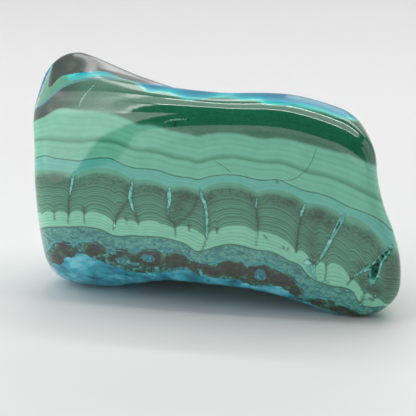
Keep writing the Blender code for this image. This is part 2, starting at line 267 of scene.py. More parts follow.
# Dark clouds in the domed band: x, level, reach along x and w, and strength
DUSK = [
    (-33.3, 26.6, 2.2, 1.5, 0.9), (-29.6, 24.5, 1.0, 2.4, 0.35), (-17.2, 24.5, 1.2, 1.6, 0.5),
    (-10.4, 25.2, 1.9, 1.0, 0.5), (-5.0, 24.3, 2.7, 1.5, 0.75), (-6.3, 21.8, 1.6, 2.6, 0.7),
    (-7.2, 20.0, 1.0, 1.6, 0.6), (0.4, 24.4, 0.9, 1.6, 0.45), (9.6, 24.2, 1.0, 2.0, 0.45),
    (17.0, 24.6, 2.4, 1.1, 0.75), (14.0, 25.4, 2.4, 0.8, 0.4), (22.6, 22.4, 2.6, 1.5, 0.85),
    (25.0, 20.4, 1.0, 1.8, 0.65), (21.6, 16.5, 1.6, 3.6, 0.5), (19.6, 21.0, 0.8, 2.4, 0.5),
    (22.0, 13.6, 1.8, 1.0, 0.6), (33.6, 18.6, 2.2, 1.4, 0.55), (29.2, 9.2, 0.9, 0.9, 0.7),
    (31.8, 12.2, 1.4, 1.2, 0.6), (32.0, 8.6, 1.4, 1.8, 0.75), (34.6, 7.2, 2.0, 1.4, 0.9),
    (37.4, 10.0, 1.6, 4.4, 0.75), (38.3, 10.5, 1.6, 5.5, 0.6), (37.0, 5.4, 2.0, 1.2, 0.5),
]
# Hairline cracks in the light green: level and x along each
HAIRLINES = [
    [(28.9, 15.2), (29.1, 16.6), (29.7, 18.2), (30.5, 19.2), (31.2, 20.1), (32.3, 20.8), (34.4, 21.7),
     (36.0, 22.2)],
    [(30.1, 4.6), (30.9, 3.6), (31.5, 2.6), (32.2, 1.2)],
]
HAIRLINE_REACH, HAIRLINE_DEPTH, LEAN_STEP = 1.2, 4, 0.05
# The distance given where nothing is near
FAR = 9.0
# Brown nodules in the band above the blue base: x, y, level, then half sizes along x, y and w
NODULES = [
    (-31.7, 1, 11.9, 1.5, 5, 0.95), (-24.4, 1, 11.9, 2.5, 6, 1.3), (-18.4, 1, 11.5, 1.4, 4, 0.6),
    (-20.0, 1, 9.9, 1.7, 5, 0.9), (-15.4, 1, 9.9, 1.5, 5, 1.0), (-12.4, 1, 10.6, 2.5, 6, 1.9),
    (-6.8, 1, 10.4, 2.6, 6, 1.8), (-2.6, 1, 9.9, 1.6, 5, 0.7), (0.6, 1, 8.8, 1.8, 5, 1.1),
    (5.2, 1, 9.4, 2.7, 6, 1.8), (10.8, 1, 8.9, 3.1, 6, 1.9), (15.6, 1, 7.9, 2.6, 6, 1.5),
    (17.8, 1, 5.9, 1.5, 5, 0.9), (22.4, 1, 3.8, 2.5, 6, 0.75), (26.0, 1, 2.6, 2.6, 6, 0.7),
    (-34.2, 2, 9.0, 2.0, 6, 1.5), (-31.0, 1, 10.3, 1.9, 5, 0.7), (30.5, 2, 1.5, 1.8, 5, 0.6),
]
# Blue spots in the nodules, in the same measures
SPOTS = [
    (-19.0, 1, 9.7, 0.95, 3, 0.6), (-15.9, 1, 9.2, 0.6, 3, 0.25), (-13.0, 1, 10.6, 1.2, 3, 0.6),
    (-6.0, 1, 8.6, 1.1, 3, 0.4), (10.9, 1, 8.7, 1.1, 3, 1.1), (-21.3, 1, 11.6, 0.9, 3, 0.5),
    (-16.2, 1, 11.7, 0.6, 3, 0.35), (20.0, 1, 4.6, 0.8, 3, 0.3),
]
# The light cloud in the blue base: x, level, and reach along each
PALE_CLOUD = -29.4, 8.0, 3.6, 2.4
# The nodules drawn at random behind: how many, where in x and y, how far below the top, and their half sizes
BACK_NODULES, NODULE_X, NODULE_Y, NODULE_SINK = 70, (-38, 36), (9, 38), (1.0, 2.4)
NODULE_SIZES = (1.4, 1.4, 0.8), (3.2, 3.2, 1.8)

MM = 0.001
STONE = "polished_stone"
# Index of refraction and gleam of each polished mineral, and which faces are chrysocolla: the cap from this
# height up, in thicknesses of its rim, and below this bed
MALACHITE, CHRYSOCOLLA = (1.78, 0.5), (1.45, 0.08)
CAP_FROM, CAP_BELOW = 0.3, 8.9


def curve_through(points, at):
    """Height at each place of the smooth curve through the points.

    Cubic Hermite pieces, whose slope at a point is that of the chords on its two sides.
    """
    places, heights = np.array(points, float).T
    slopes = np.gradient(heights, places)
    at = np.clip(at, places[0], places[-1])
    i = np.clip(np.searchsorted(places, at) - 1, 0, len(places) - 2)
    step = places[i + 1] - places[i]
    t = (at - places[i]) / step
    return (
        (1 + 2 * t) * (1 - t) ** 2 * heights[i]
        + t * (1 - t) ** 2 * step * slopes[i]
        + t * t * (3 - 2 * t) * heights[i + 1]
        + t * t * (t - 1) * step * slopes[i + 1]
    )


def ease(start, end, at):
    """0 before start, 1 after end, and a smooth S between them."""
    t = np.clip((at - start) / (end - start), 0, 1)
    return t * t * (3 - 2 * t)


def blunt(a, b, reach):
    """The larger of two distances, with the edge where they meet rounded over reach."""
    overlap = np.maximum(reach - np.abs(a - b), 0)
    return np.maximum(a, b) + overlap**2 / (4 * reach)


def top_height(x, y):
    """The top face: its front profile turns into the middle one and then the back one along y."""
    front, middle, back = (curve_through(row, x) for row in (TOP_FRONT, TOP_MIDDLE, TOP_BACK))
    height = front + (middle - front) * ease(TOP_MIDDLE_FROM, TOP_MIDDLE_AT, y)
    return height + (back - middle) * ease(TOP_BACK_FROM, TOP_BACK_AT, y)


def underside_height(x, y):
    """The underside: the arch, with a bell-shaped foot let down at each of the three places."""
    arch = curve_through(ARCH, x) * (1 - ease(ARCH_FADE_FROM, ARCH_FADE_TO, y))
    feet = sum(np.exp(-((x - fx) ** 2 + (y - fy) ** 2) / FOOT_SPREAD**2) for fx, fy in FEET)
    return arch + UNDERSIDE - FOOT_DROP * feet


def outside(x, y, z):
    """How far a point is outside the stone: the rounded largest of its distances from the ground faces."""
    right = (x - curve_through(RIGHT_END, z) + RIGHT_END_TAPER * y) / np.hypot(1, RIGHT_END_TAPER)
    belly = LEFT_END_BELLY * np.sin(np.pi * np.clip(y / LEFT_END_BELLY_DEPTH, 0, 1))
    left = curve_through(LEFT_END, z) - belly - x
    lean = BACK_LEAN * (z - MIDDLE_Z) + BACK_SWELL * (z / MIDDLE_Z - 1) ** 2
    back = y - curve_through(BACK, x) + lean
    top = z - top_height(x, y)
    base = underside_height(x, y) - z
    front = FRONT_FALL_X * (x / FRONT_HALF_X) ** 2 + FRONT_FALL_Z * ((z - MIDDLE_Z) / FRONT_HALF_Z) ** 2 - y
    past = np.maximum(ROLL_X * x + ROLL_Z * z - ROLL_FROM, 0)
    bend = np.minimum(past, ROLL_REACH)
    front = front + ROLL_BEND * bend * (2 * past - bend)
    facet = np.tensordot(FACET_NORMAL, np.stack([x, y, z]), 1) - FACET_DISTANCE
    lower_left = ease(*LOWER_LEFT_X, x) * ease(*LOWER_LEFT_Z, z)
    gap = blunt(blunt(back, left, ROUND_BACK), right, ROUND_ENDS)
    gap = blunt(blunt(gap, top, ROUND_TOP), base, ROUND_BASE)
    gap = blunt(gap, facet, ROUND_FACET)
    gap = blunt(gap, front, ROUND_FRONT + ROUND_FRONT_LOWER_LEFT * lower_left)
    return blunt(gap, -z, ROUND_FEET)


def surface_points(rays):
    """Where each ray from the heart of the stone leaves it, found by halving the stretch it must be in."""
    near, far = np.zeros(len(rays)), np.full(len(rays), FARTHEST)
    for _ in range(HALVINGS):
        middle = (near + far) / 2
        inside = outside(*(rays * middle[:, None] + HEART).T) < 0
        near, far = np.where(inside, middle, near), np.where(inside, far, middle)
    return rays * near[:, None] + HEART


def crowded_lines(cells, place, reach, extra):
    """Grid lines from -1 to 1, spaced by the inverse of a density of 1 plus a bell of height extra."""
    fine = np.linspace(-1, 1, 2001)
    density = 1 + extra * np.exp(-(((fine - place) / reach) ** 2))
    total = np.concatenate([[0], np.cumsum((density[1:] + density[:-1]) / 2)])
    return np.interp(np.linspace(0, total[-1], cells + 1), total, fine)


def box_grid(lines):
    """Points and four-sided faces of a closed box, on the given grid lines along x, y and z."""
    corners, faces, total = [], [], 0
    cells = [len(row) - 1 for row in lines]
    for axis in range(3):
        a, b = (axis + 1) % 3, (axis + 2) % 3
        across, along = np.meshgrid(np.arange(cells[a] + 1), np.arange(cells[b] + 1), indexing="ij")
        for side in (0, cells[axis]):
            grid = np.zeros(across.shape + (3,), int)
            grid[..., a], grid[..., b], grid[..., axis] = across, along, side
            number = total + np.arange(across.size).reshape(across.shape)
            ring = [number[:-1, :-1], number[1:, :-1], number[1:, 1:], number[:-1, 1:]]
            faces.append(np.stack(ring if side else ring[::-1], -1).reshape(-1, 4))
            corners.append(grid.reshape(-1, 3))
            total += across.size
    steps, index = np.unique(np.concatenate(corners), axis=0, return_inverse=True)
    points = np.stack([row[steps[:, axis]] for axis, row in enumerate(lines)], -1)
    return points, index.reshape(-1)[np.concatenate(faces)]


def stroke_gap(x, w, stroke):
    """Distance to the edge of a stroke, negative inside it.

    The least, over the stretches of the stroke, of the distance to the stretch less the half width there.
    """
    gaps = []
    for (ax, aw, a_half), (bx, bw, b_half) in zip(stroke, stroke[1:]):
        run_x, run_w = bx - ax, bw - aw
        t = np.clip(((x - ax) * run_x + (w - aw) * run_w) / (run_x**2 + run_w**2), 0, 1)
        gaps.append(np.hypot(x - ax - t * run_x, w - aw - t * run_w) - a_half - t * (b_half - a_half))
    return np.min(gaps, 0)


def domed_line(cusps, roundness, x):
    """Level of a domed line: the chord from cusp to cusp plus rise * (1 - |2t - 1|^roundness), t along it."""
    places, levels, rises = np.array(cusps, float).T
    i = np.clip(np.searchsorted(places, x) - 1, 0, len(places) - 2)
    t = np.clip((x - places[i]) / (places[i + 1] - places[i]), 0, 1)
    chord = levels[i] + t * (levels[i + 1] - levels[i])
    return chord + rises[i] * (1 - np.abs(2 * t - 1) ** roundness)


def cell_distances(x, y, spacing, random):
    """Distances in plan to the nearest and the second nearest of a jittered grid of seeds."""
    grid = np.stack(np.meshgrid(np.arange(-48, 49, spacing), np.arange(-4, 49, spacing)), -1).reshape(-1, 2)
    nearest, second = np.full(x.shape, 1e3), np.full(x.shape, 1e3)
    for sx, sy in grid + random.uniform(-JITTER, JITTER, grid.shape) * spacing:
        distance = np.hypot(x - sx, y - sy)
        second = np.minimum(second, np.maximum(nearest, distance))
        nearest = np.minimum(nearest, distance)
    return nearest, second


def waves(x, y, random):
    """A gentle roll of the layers behind the front face: four sines of x and y with chosen directions."""
    total = 0
    for length, share in WAVES:
        turn, phase = random.uniform(0, np.pi), random.uniform(0, 2 * np.pi)
        total = total + share * np.sin((x * np.cos(turn) + y * np.sin(turn)) * 2 * np.pi / length + phase)
    return total


def nearest_stroke(x, w, strokes):
    """Distance to the edge of the nearest of several strokes."""
    return np.min([stroke_gap(x, w, stroke) for stroke in strokes], 0)


def layer_tops(x, y, behind, pale, domes, random):
    """Levels of the tops of all the layers from the base up, each above the one below it."""
    wander = CAP_WANDER * waves(x, 2.5 * y, random) * behind * ease(*CAP_WANDER_FROM, x)
    tops = [curve_through(row, x) for row in (BLUE_BASE_TOP, NODULES_TOP, GREY_TEAL_TOP)]
    tops += [pale, domes]
    tops += [curve_through(row, x) for row in (TEAL_TOP, LOWER_GREEN_TOP, UPPER_GREEN_TOP, DARK_GREEN_TOP)]
    tops.append(curve_through(CAP_TOP, x + wander))
    return np.maximum.accumulate(np.stack(tops) + TOP_GAP * np.arange(len(tops))[:, None], 0)


def bed_number(w, tops):
    """How many layers a level has passed: a whole number at each top, and below zero in the base."""
    bed = np.clip((w - tops[0]) / BASE_DEPTH, -1, 0)
    for low, high in zip(tops, tops[1:]):
        bed = bed + np.clip((w - low) / np.maximum(high - low, THINNEST), 0, 1)
    return bed + np.clip((w - tops[-1]) / HORN_DEPTH, 0, 1)


def dusk_clouds(x, w, split):
    """How dark the clouds of the domed band are, as the darkest bell, with a shade along seams and veins."""
    clouds = [k * np.exp(-(((x - cx) / rx) ** 2) - ((w - cw) / rw) ** 2) for cx, cw, rx, rw, k in DUSK]
    shade = SEAM_SHADE * np.exp(-((split / SEAM_SHADE_REACH) ** 2))
    return np.maximum(np.max(clouds, 0), shade)


def hairline_gap(x, y, w):
    """Distance across to the nearest hairline, and 1 where the place lies alongside it."""
    across, beside = np.full(x.shape, FAR), np.zeros(x.shape)
    for hairline in HAIRLINES:
        ahead, back = curve_through(hairline, w + LEAN_STEP), curve_through(hairline, w - LEAN_STEP)
        gap = (x - curve_through(hairline, w)) / np.hypot(1, (ahead - back) / (2 * LEAN_STEP))
        closer = np.abs(gap) < np.abs(across)
        inside = (w > hairline[0][0]) & (w < hairline[-1][0])
        inside = inside & (np.abs(gap) < HAIRLINE_REACH) & (y < HAIRLINE_DEPTH)
        across, beside = np.where(closer, gap, across), np.where(closer, inside, beside)
    return across, beside * 1.0


def stone_pattern(points):
    """Every value that the colours need, at every point of the stone.

    bed counts the layers passed from the base up, whole numbers at their edges. growth is the height in
    millimetres in the domed band and the pale band, along which the growth lines run. cap is the height
    above the dark green, in thicknesses of the mint rim. vein and vug are positive inside, hair, nodule and
    spot are distances, and seam, blue_line, dusk, hair_on and cloud are strengths from 0 to 1.
    """
    random = np.random.default_rng(SEED)
    x, y, z = points.T
    behind = ease(FRONT_PATTERN_TO, BACK_PATTERN_FROM, y)
    on_front = behind < 0.5
    w = z + LAYER_DIP * (y - FACE_Y)
    w = w + BACK_WAVE * waves(x, y, random) * behind

    # The two domed lines, and the layers
    near, second = cell_distances(x, y, BACK_DOMES, random)
    small_near, small_second = cell_distances(x, y, BACK_PALE, random)
    between_domes = (second - near) / 2
    dome_cusps, pale_cusps = [cusp[:2] for cusp in DOMES_TOP], [cusp[:2] for cusp in PALE_TOP[::2]]
    back_domes = curve_through(dome_cusps, x) + BACK_DOME_RISE - near**2 / (2 * BACK_DOME_CURVE)
    back_pale = curve_through(pale_cusps, x) + BACK_PALE_RISE - small_near**2 / (2 * BACK_PALE_CURVE)
    domes = domed_line(DOMES_TOP, DOMES_ROUNDNESS, x) * (1 - behind) + back_domes * behind
    pale = domed_line(PALE_TOP, PALE_ROUNDNESS, x) * (1 - behind) + back_pale * behind
    tops = layer_tops(x, y, behind, pale, domes, random)
    bed = bed_number(w, tops)

    # The cap over the dark green, whose top is the ninth
    over_green = w - tops[8]
    cap = over_green / np.interp(x, *np.array(MINT_RIM).T)
    blue_line = np.exp(-(((over_green - BLUE_LINE_RISE) / BLUE_LINE_REACH) ** 2)) * ease(*BLUE_LINE_FROM, x)

    # Veins and seams
    front_vein = nearest_stroke(x, w, VEINS)
    open_here = np.clip(OPEN_MEAN + OPEN_SWING * waves(2 * x, 2 * y, random), *OPEN_RANGE)
    taper = 1 - ((bed - BACK_VEIN_BED) / BACK_VEIN_REACH) ** 2
    back_vein = between_domes - BACK_VEIN * open_here * taper
    vein = -np.where(on_front | ((z > FACET_Z) & (y < FACET_Y)), front_vein, back_vein)
    front_seam = nearest_stroke(x, w, SEAMS)
    pale_seam = small_second - small_near - PALE_SEAM + np.maximum(bed - PALE_SEAM_TO, 0) * PALE_SEAM_FADE
    in_band = (bed > BACK_SEAM_BEDS[0]) & (bed < BACK_SEAM_BEDS[1])
    back_seam = np.where(in_band, np.minimum(between_domes - DOME_SEAM, pale_seam), FAR)
    seam_gap = np.maximum(np.where(on_front, front_seam, back_seam), 0)
    seam = np.exp(-((seam_gap / SEAM_SOFTNESS) ** 2))

    # Growth lines, which sag at the seams, and the dark clouds between them
    split = np.maximum(np.where(on_front, np.minimum(front_seam, front_vein), between_domes), 0)
    growth = np.clip(bed - 3, 0, 1) * curve_through(DOMED_BAND, x) + (np.clip(bed, 2, 3) - 3) * PALE_BAND
    growth = growth + SAG * np.exp(-split / SAG_REACH * 2) * ease(*SAG_BEDS, bed)
    back_dusk = BACK_DUSK * np.exp(-((between_domes / BACK_DUSK_REACH) ** 2))
    back_dusk = back_dusk * ease(*BACK_DUSK_FROM, bed) * ease(*BACK_DUSK_TO, bed)
    dusk = dusk_clouds(x, w, split) * (1 - behind) + back_dusk * behind
    hair, hair_on = hairline_gap(x, y, w)

    # Nodules, their spots, the light cloud in the base, and the vugs
    nodule = blob_gap(x, y, w, NODULES + back_nodules(random))
    spot = blob_gap(x, y, w, SPOTS)
    cloud_x, cloud_w, reach_x, reach_w = PALE_CLOUD
    cloud = np.exp(-(((x - cloud_x) / reach_x) ** 2) - ((w - cloud_w) / reach_w) ** 2)
    sunk = [np.clip(-stroke_gap(x, z, course) / VUG_WALL, -1, 1) for course, _ in VUGS]
    vug = np.where(y < HEART[1] / 2, np.max(sunk, 0), -1)
    return {
        "bed": bed, "growth": growth, "cap": cap, "vein": vein, "seam": seam, "blue_line": blue_line,
        "dusk": dusk, "hair": hair, "hair_on": hair_on, "nodule": nodule, "spot": spot, "cloud": cloud,
        "vug": vug,
    }


def back_nodules(random):
    """Nodules drawn at random behind the front face, just below the top of their band."""
    places = []
    for _ in range(BACK_NODULES):
        x, y = random.uniform(*NODULE_X), random.uniform(*NODULE_Y)
        level = np.interp(x, *np.array(NODULES_TOP).T) - random.uniform(*NODULE_SINK)
        places.append((x, y, level, *random.uniform(*NODULE_SIZES)))
    return places


def blob_gap(x, y, w, places):
    """Distance to the nearest of the ellipsoids, negative inside, on the scale of their smaller half size."""
    gap = np.full(x.shape, FAR)
    for cx, cy, cw, rx, ry, rw in places:
        reach = np.sqrt(((x - cx) / rx) ** 2 + ((y - cy) / ry) ** 2 + ((w - cw) / rw) ** 2)
        gap = np.minimum(gap, (reach - 1) * min(rx, rw))
    return gap


def vug_depth(x, y, z):
    """How far the front face is sunk: each vug drops to its depth over the width of its wall."""
    depths = [depth * ease(0, -VUG_WALL, stroke_gap(x, z, course)) for course, depth in VUGS]
    return np.where(y < HEART[1] / 2, np.max(depths, 0), 0)


def fit_to_solid(points):
    """Scale and shift, in metres, that set the drawn points to the box of the solid."""
    low, high = (np.array(corner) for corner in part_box(STONE))
    scale = (high - low) / (points.max(0) - points.min(0))
    return scale, low - points.min(0) * scale


def stone_piece():
    """The fine stone: a box grid blown out from the heart to the surface, with the vugs sunk in its face."""
    rays, faces = box_grid([crowded_lines(n, *crowd) for n, crowd in zip(CELLS, CROWDED)])
    points = surface_points(rays * BOX)
    scale, shift = fit_to_solid(points)
    pattern = stone_pattern(points)
    points[:, 1] += vug_depth(*points.T)
    mesh = bpy.data.meshes.new("stone_surface")
    mesh.from_pydata((points * scale + shift).tolist(), [], faces.tolist())
    for name, values in pattern.items():
        attribute = mesh.attributes.new(name, "FLOAT", "POINT")
        attribute.data.foreach_set("value", values.astype(np.float32))
    mesh.shade_smooth()
    colours = stone_colours()
    mesh.materials.append(polished_mineral("polished_malachite", colours, *MALACHITE))
    mesh.materials.append(polished_mineral("polished_chrysocolla", colours, *CHRYSOCOLLA))
    in_cap = (pattern["cap"] > CAP_FROM) & (pattern["bed"] < CAP_BELOW)
    mesh.polygons.foreach_set("material_index", in_cap[faces[:, 0]].astype(np.int32))
    piece = bpy.data.objects.new("stone_surface", mesh)
    bpy.context.scene.collection.objects.link(piece)
    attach(piece, "root")
    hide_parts(STONE)
    return scale, shift


def srgb(red, green, blue):
    """A colour read off as 0 to 255, as the linear colour that a shader takes."""
    share = np.array([red, green, blue]) / 255
    linear = np.where(share > 0.04045, ((share + 0.055) / 1.055) ** 2.4, share / 12.92)
    return (*linear.tolist(), 1.0)


class Nodes:
    """Short ways to add a shader node to a tree and link it."""

    def __init__(self, tree):
        self.tree = tree

    def put(self, socket, value):
        """Link an output to the socket, or set a plain number or colour on it."""
        if isinstance(value, bpy.types.NodeSocket):
            self.tree.links.new(value, socket)
        else:
            socket.default_value = value

    def add(self, kind, inputs, **settings):
        """A new node of that kind with its settings, and with each named input linked or set."""
        node = self.tree.nodes.new("ShaderNode" + kind)
        for name, setting in settings.items():
            setattr(node, name, setting)
        for name, value in inputs.items():
            self.put(node.inputs[name], value)
        return node

    def maths(self, operation, a, b=0.0):
        """One operation on one or two values."""
        return self.add("Math", {0: a, 1: b}, operation=operation).outputs[0]

    def times(self, first, *others):
        """The product of all the values."""
        for other in others:
            first = self.maths("MULTIPLY", first, other)
        return first

    def plus(self, first, *others):
        """The sum of all the values."""
        for other in others:
            first = self.maths("ADD", first, other)
        return first

    def less(self, a, b):
        """The first value less the second."""
        return self.maths("SUBTRACT", a, b)

    def step(self, low, high, value):
        """0 below low, 1 above high, and a smooth S between; low may be the larger one."""
        inputs = {"Value": value, "From Min": min(low, high), "From Max": max(low, high)}
        inputs["To Min"], inputs["To Max"] = float(low > high), float(low < high)
        return self.add("MapRange", inputs, interpolation_type="SMOOTHSTEP").outputs["Result"]

    def within(self, value, rise, fall):
        """1 between two soft edges and 0 outside them, each edge given as where it starts and ends."""
        return self.times(self.step(*rise, value), self.step(fall[1], fall[0], value))

    def mix(self, amount, a, b, blend="MIX"):
        """The first colour, with that amount of the second laid over it."""
        return self.add("Mix", {0: amount, 6: a, 7: b}, data_type="RGBA", blend_type=blend).outputs[2]

    def tint(self, amount, colour, tone):
        """The colour, with that amount of it multiplied by the tone."""
        return self.mix(amount, colour, tone, "MULTIPLY")

    def value(self, name):
        """A value stored on the surface."""
        return self.add("Attribute", {}, attribute_name=name).outputs["Fac"]

    def spread(self, vector):
        """The three coordinates of a vector, as outputs named X, Y and Z."""
        return self.add("SeparateXYZ", {0: vector}).outputs

    def ramp(self, value, stops, low=0.0, high=1.0):
        """Colours at places from low to high, mixed straight between them."""
        node = self.add("ValToRGB", {"Fac": self.maths("DIVIDE", self.less(value, low), high - low)})
        places = [(place - low) / (high - low) for place, _ in stops]
        elements = node.color_ramp.elements
        elements.remove(elements[1])
        elements[0].position, elements[0].color = places[0], stops[0][1]
        for place, (_, colour) in zip(places[1:], stops[1:]):
            elements.new(place).color = colour
        return node.outputs["Color"]

    def noise(self, vector, scale, detail=2.0, stretch=(1, 1, 1), rough=0.5, warp=0.0):
        """Cloudy noise of the place in millimetres, about 0.5 in the middle."""
        size = tuple(scale * part / MM for part in stretch)
        place = self.add("Mapping", {"Vector": vector, "Scale": size}).outputs[0]
        inputs = {"Vector": place, "Scale": 1.0, "Detail": detail, "Roughness": rough, "Distortion": warp}
        return self.add("TexNoise", inputs).outputs["Fac"]

    def sway(self, reach, vector, *settings, **more):
        """The same noise about zero, times reach."""
        return self.times(self.less(self.noise(vector, *settings, **more), 0.5), reach)

    def stripes(self, value, scale, detail=2.0):
        """Noise along one value alone, which makes irregular stripes."""
        inputs = {"W": value, "Scale": scale, "Detail": detail}
        return self.add("TexNoise", inputs, noise_dimensions="1D").outputs["Fac"]


# Colours of the minerals, as they are under the polish
DARK_GREEN = srgb(30, 118, 84)
DARK_GREEN_EDGE = srgb(62, 128, 98)
LIGHT_GREEN = srgb(120, 207, 176)
STRIPE_GREEN = srgb(84, 166, 132)
LINE_GREEN = srgb(48, 112, 84)
TEAL = srgb(104, 200, 182)
DOME_EDGE = srgb(98, 180, 148)
DOME_DARK = srgb(50, 110, 82)
DOME_GREEN = srgb(76, 150, 120)
PALE_GREEN = srgb(140, 220, 186)
GREY_TEAL = srgb(64, 152, 144)
NODULE_GREEN = srgb(44, 88, 68)
BASE_BLUE = srgb(28, 158, 182)
BASE_SPECK = srgb(14, 66, 78)
CYAN = srgb(126, 226, 218)
MINT = srgb(88, 210, 202)
MINT_GREEN = srgb(88, 164, 134)
DUSK_GREY = srgb(18, 46, 34)
DUSK_GREEN = srgb(16, 92, 56)
NODULE_OUTLINE = srgb(80, 180, 180)
SPOT_RIM = srgb(70, 160, 150)
BAND_TOP_BLUE = srgb(60, 176, 200)
BLUE_LINE = srgb(40, 136, 172)
SEAM_DARK = srgb(26, 54, 40)
BLACK_GREEN = srgb(14, 34, 24)
SCRATCH = srgb(120, 186, 162)

# Colours along a noise or a value, as the place and the colour there
MOSS = [
    (0.34, srgb(38, 104, 110)), (0.44, srgb(52, 134, 132)), (0.5, GREY_TEAL), (0.57, srgb(112, 190, 176)),
    (0.64, srgb(60, 140, 126)),
]
BAND_GROUND = [
    (0.36, srgb(30, 54, 46)), (0.46, srgb(38, 84, 70)), (0.52, srgb(58, 124, 104)),
    (0.56, srgb(44, 140, 152)), (0.62, srgb(110, 206, 204)),
]
HALO = [(0.4, srgb(34, 62, 44)), (0.5, srgb(48, 92, 60)), (0.6, srgb(70, 124, 86))]
NODULE_BODY = [
    (0.38, srgb(38, 40, 34)), (0.52, srgb(50, 56, 48)), (0.6, srgb(46, 76, 62)), (0.68, srgb(64, 112, 96)),
]
SPOT_BODY = [
    (0.36, srgb(90, 196, 206)), (0.44, srgb(40, 150, 172)), (0.52, srgb(30, 96, 112)),
    (0.6, srgb(50, 150, 150)),
]
BASE_PATCHES = [
    (0.36, srgb(14, 104, 126)), (0.46, BASE_BLUE), (0.54, srgb(60, 184, 204)), (0.66, srgb(126, 218, 236)),
]
CAP = [
    (0, MINT_GREEN), (0.3, MINT_GREEN), (0.6, MINT), (1.0, MINT), (1.4, srgb(20, 186, 204)),
    (2.4, srgb(0, 152, 180)), (5, srgb(0, 134, 166)),
]
HORN = [(0.35, srgb(20, 38, 30)), (0.55, srgb(28, 54, 42)), (0.7, srgb(46, 90, 68))]
LEFT_RIM = [(-38.9, srgb(40, 140, 176)), (-38.4, srgb(190, 206, 206)), (-37.9, MINT_GREEN)]
VEIN_BODY = [(0.4, srgb(70, 190, 172)), (0.55, CYAN), (0.68, srgb(164, 234, 228))]
VUG_BODY = [
    (0.38, srgb(6, 34, 32)), (0.46, srgb(24, 118, 96)), (0.56, srgb(60, 160, 134)),
    (0.66, srgb(130, 220, 204)),
]
# By bed: the base below 0, nodules, grey teal, pale, domes, teal, light green twice, dark green, cap, horn
LAYERS = [
    (-1, BASE_BLUE), (-0.01, BASE_BLUE), (0.0, NODULE_GREEN), (0.97, NODULE_GREEN), (1.0, CYAN),
    (1.05, GREY_TEAL), (1.94, GREY_TEAL), (1.965, LINE_GREEN), (2.01, LINE_GREEN), (2.04, PALE_GREEN),
    (2.985, PALE_GREEN), (3.0, DOME_GREEN), (3.5, DOME_GREEN), (3.72, DOME_DARK), (3.84, DOME_DARK),
    (3.93, DOME_EDGE), (3.985, DOME_EDGE), (4.06, TEAL), (4.955, TEAL), (4.98, LINE_GREEN),
    (5.015, LINE_GREEN), (5.045, LIGHT_GREEN), (5.86, LIGHT_GREEN), (5.97, STRIPE_GREEN),
    (6.03, STRIPE_GREEN), (6.14, LIGHT_GREEN), (6.985, LIGHT_GREEN), (7.0, DARK_GREEN_EDGE),
    (7.12, DARK_GREEN), (8.0, DARK_GREEN),
]

# Tones that multiply a colour, and how far apart the growth lines are
STRIPE_TONE = [(0.3, (0.88, 0.92, 0.9, 1)), (0.7, (1.1, 1.06, 1.07, 1))]
CLOUD_TONE = [(0.3, (0.9, 0.92, 0.92, 1)), (0.7, (1.08, 1.06, 1.07, 1))]
GRAIN_TONE = [(0.35, (0.72, 0.86, 0.8, 1)), (0.65, (1.3, 1.12, 1.16, 1))]
CAP_TONE = [(0.35, (0.8, 0.85, 0.9, 1)), (0.65, (1.15, 1.12, 1.08, 1))]
DOME_LINES = [(-1, (0.5, 0.58, 0.54, 1)), (0.0, (0.94, 0.97, 0.96, 1)), (1, (1.7, 1.4, 1.5, 1))]
PALE_LINES = [(-1, (0.66, 0.78, 0.74, 1)), (-0.2, (1, 1, 1, 1)), (1, (1.06, 1.05, 1.05, 1))]
LEFT_TONE = (0.6, 0.32, 0.42, 1)
LINE_SPACING = 0.52


def plain_layers(nodes, place, bed):
    """The flat colours of the layers, striped in the plain greens, cloudy, and grainy in the dark green."""
    colour = nodes.ramp(bed, LAYERS, -1, 10)
    colour = nodes.tint(nodes.step(3.98, 4.1, bed), colour, nodes.ramp(nodes.stripes(bed, 6, 2), STRIPE_TONE))
    colour = nodes.tint(1.0, colour, nodes.ramp(nodes.noise(place, 0.35, 5, rough=0.6), CLOUD_TONE))
    grain = nodes.ramp(nodes.noise(place, 2.0, 3, (1, 1, 1.6), 0.65), GRAIN_TONE)
    return nodes.tint(nodes.step(7.0, 7.1, bed), colour, grain)


def growth_lines(nodes, place, bed, colour):
    """The fine lines along the growth, strong in the domed band and faint in the pale one."""
    growth = nodes.value("growth")
    uneven = nodes.times(nodes.stripes(growth, 0.9, 1), 1.1)
    run = nodes.plus(growth, uneven, nodes.sway(0.18, place, 0.6, 2, (1, 1, 0.5)))
    wave = nodes.maths("SINE", nodes.times(run, 2 * math.pi / LINE_SPACING))
    strength = nodes.step(0.3, 0.6, nodes.stripes(growth, 1.1, 2))
    in_domes = nodes.within(bed, (2.99, 3.01), (3.84, 3.95))
    lined = nodes.times(in_domes, nodes.plus(nodes.times(strength, 0.5), 0.5))
    colour = nodes.tint(lined, colour, nodes.ramp(wave, DOME_LINES, -1, 1))
    in_pale = nodes.within(bed, (2.04, 2.1), (2.98, 2.995))
    lined = nodes.times(in_pale, nodes.plus(nodes.times(strength, 0.6), 0.35))
    return nodes.tint(lined, colour, nodes.ramp(wave, PALE_LINES, -1, 1))


def dark_clouds(nodes, place, bed, left, colour):
    """Speckle in the dark tops of the domes, the clouds below, and the greyer far left of the dark green."""
    speckle = nodes.step(0.42, 0.6, nodes.noise(place, 1.6, 4, (1, 1, 1.5), 0.7))
    in_tops = nodes.within(bed, (3.5, 3.75), (3.86, 3.96))
    colour = nodes.mix(nodes.times(speckle, in_tops, 0.4), colour, DOME_EDGE)
    dusk = nodes.times(nodes.value("dusk"), nodes.within(bed, (2.98, 3.0), (3.92, 4.02)))
    dusk = nodes.times(dusk, nodes.plus(nodes.times(speckle, -0.35), 1.0))
    colour = nodes.mix(dusk, colour, nodes.mix(nodes.step(-28.4, -29.2, left), DUSK_GREY, DUSK_GREEN))
    greyer = nodes.times(nodes.step(-26, -33, left), nodes.within(bed, (7.0, 7.04), (7.98, 8.0)))
    return nodes.tint(greyer, colour, LEFT_TONE)


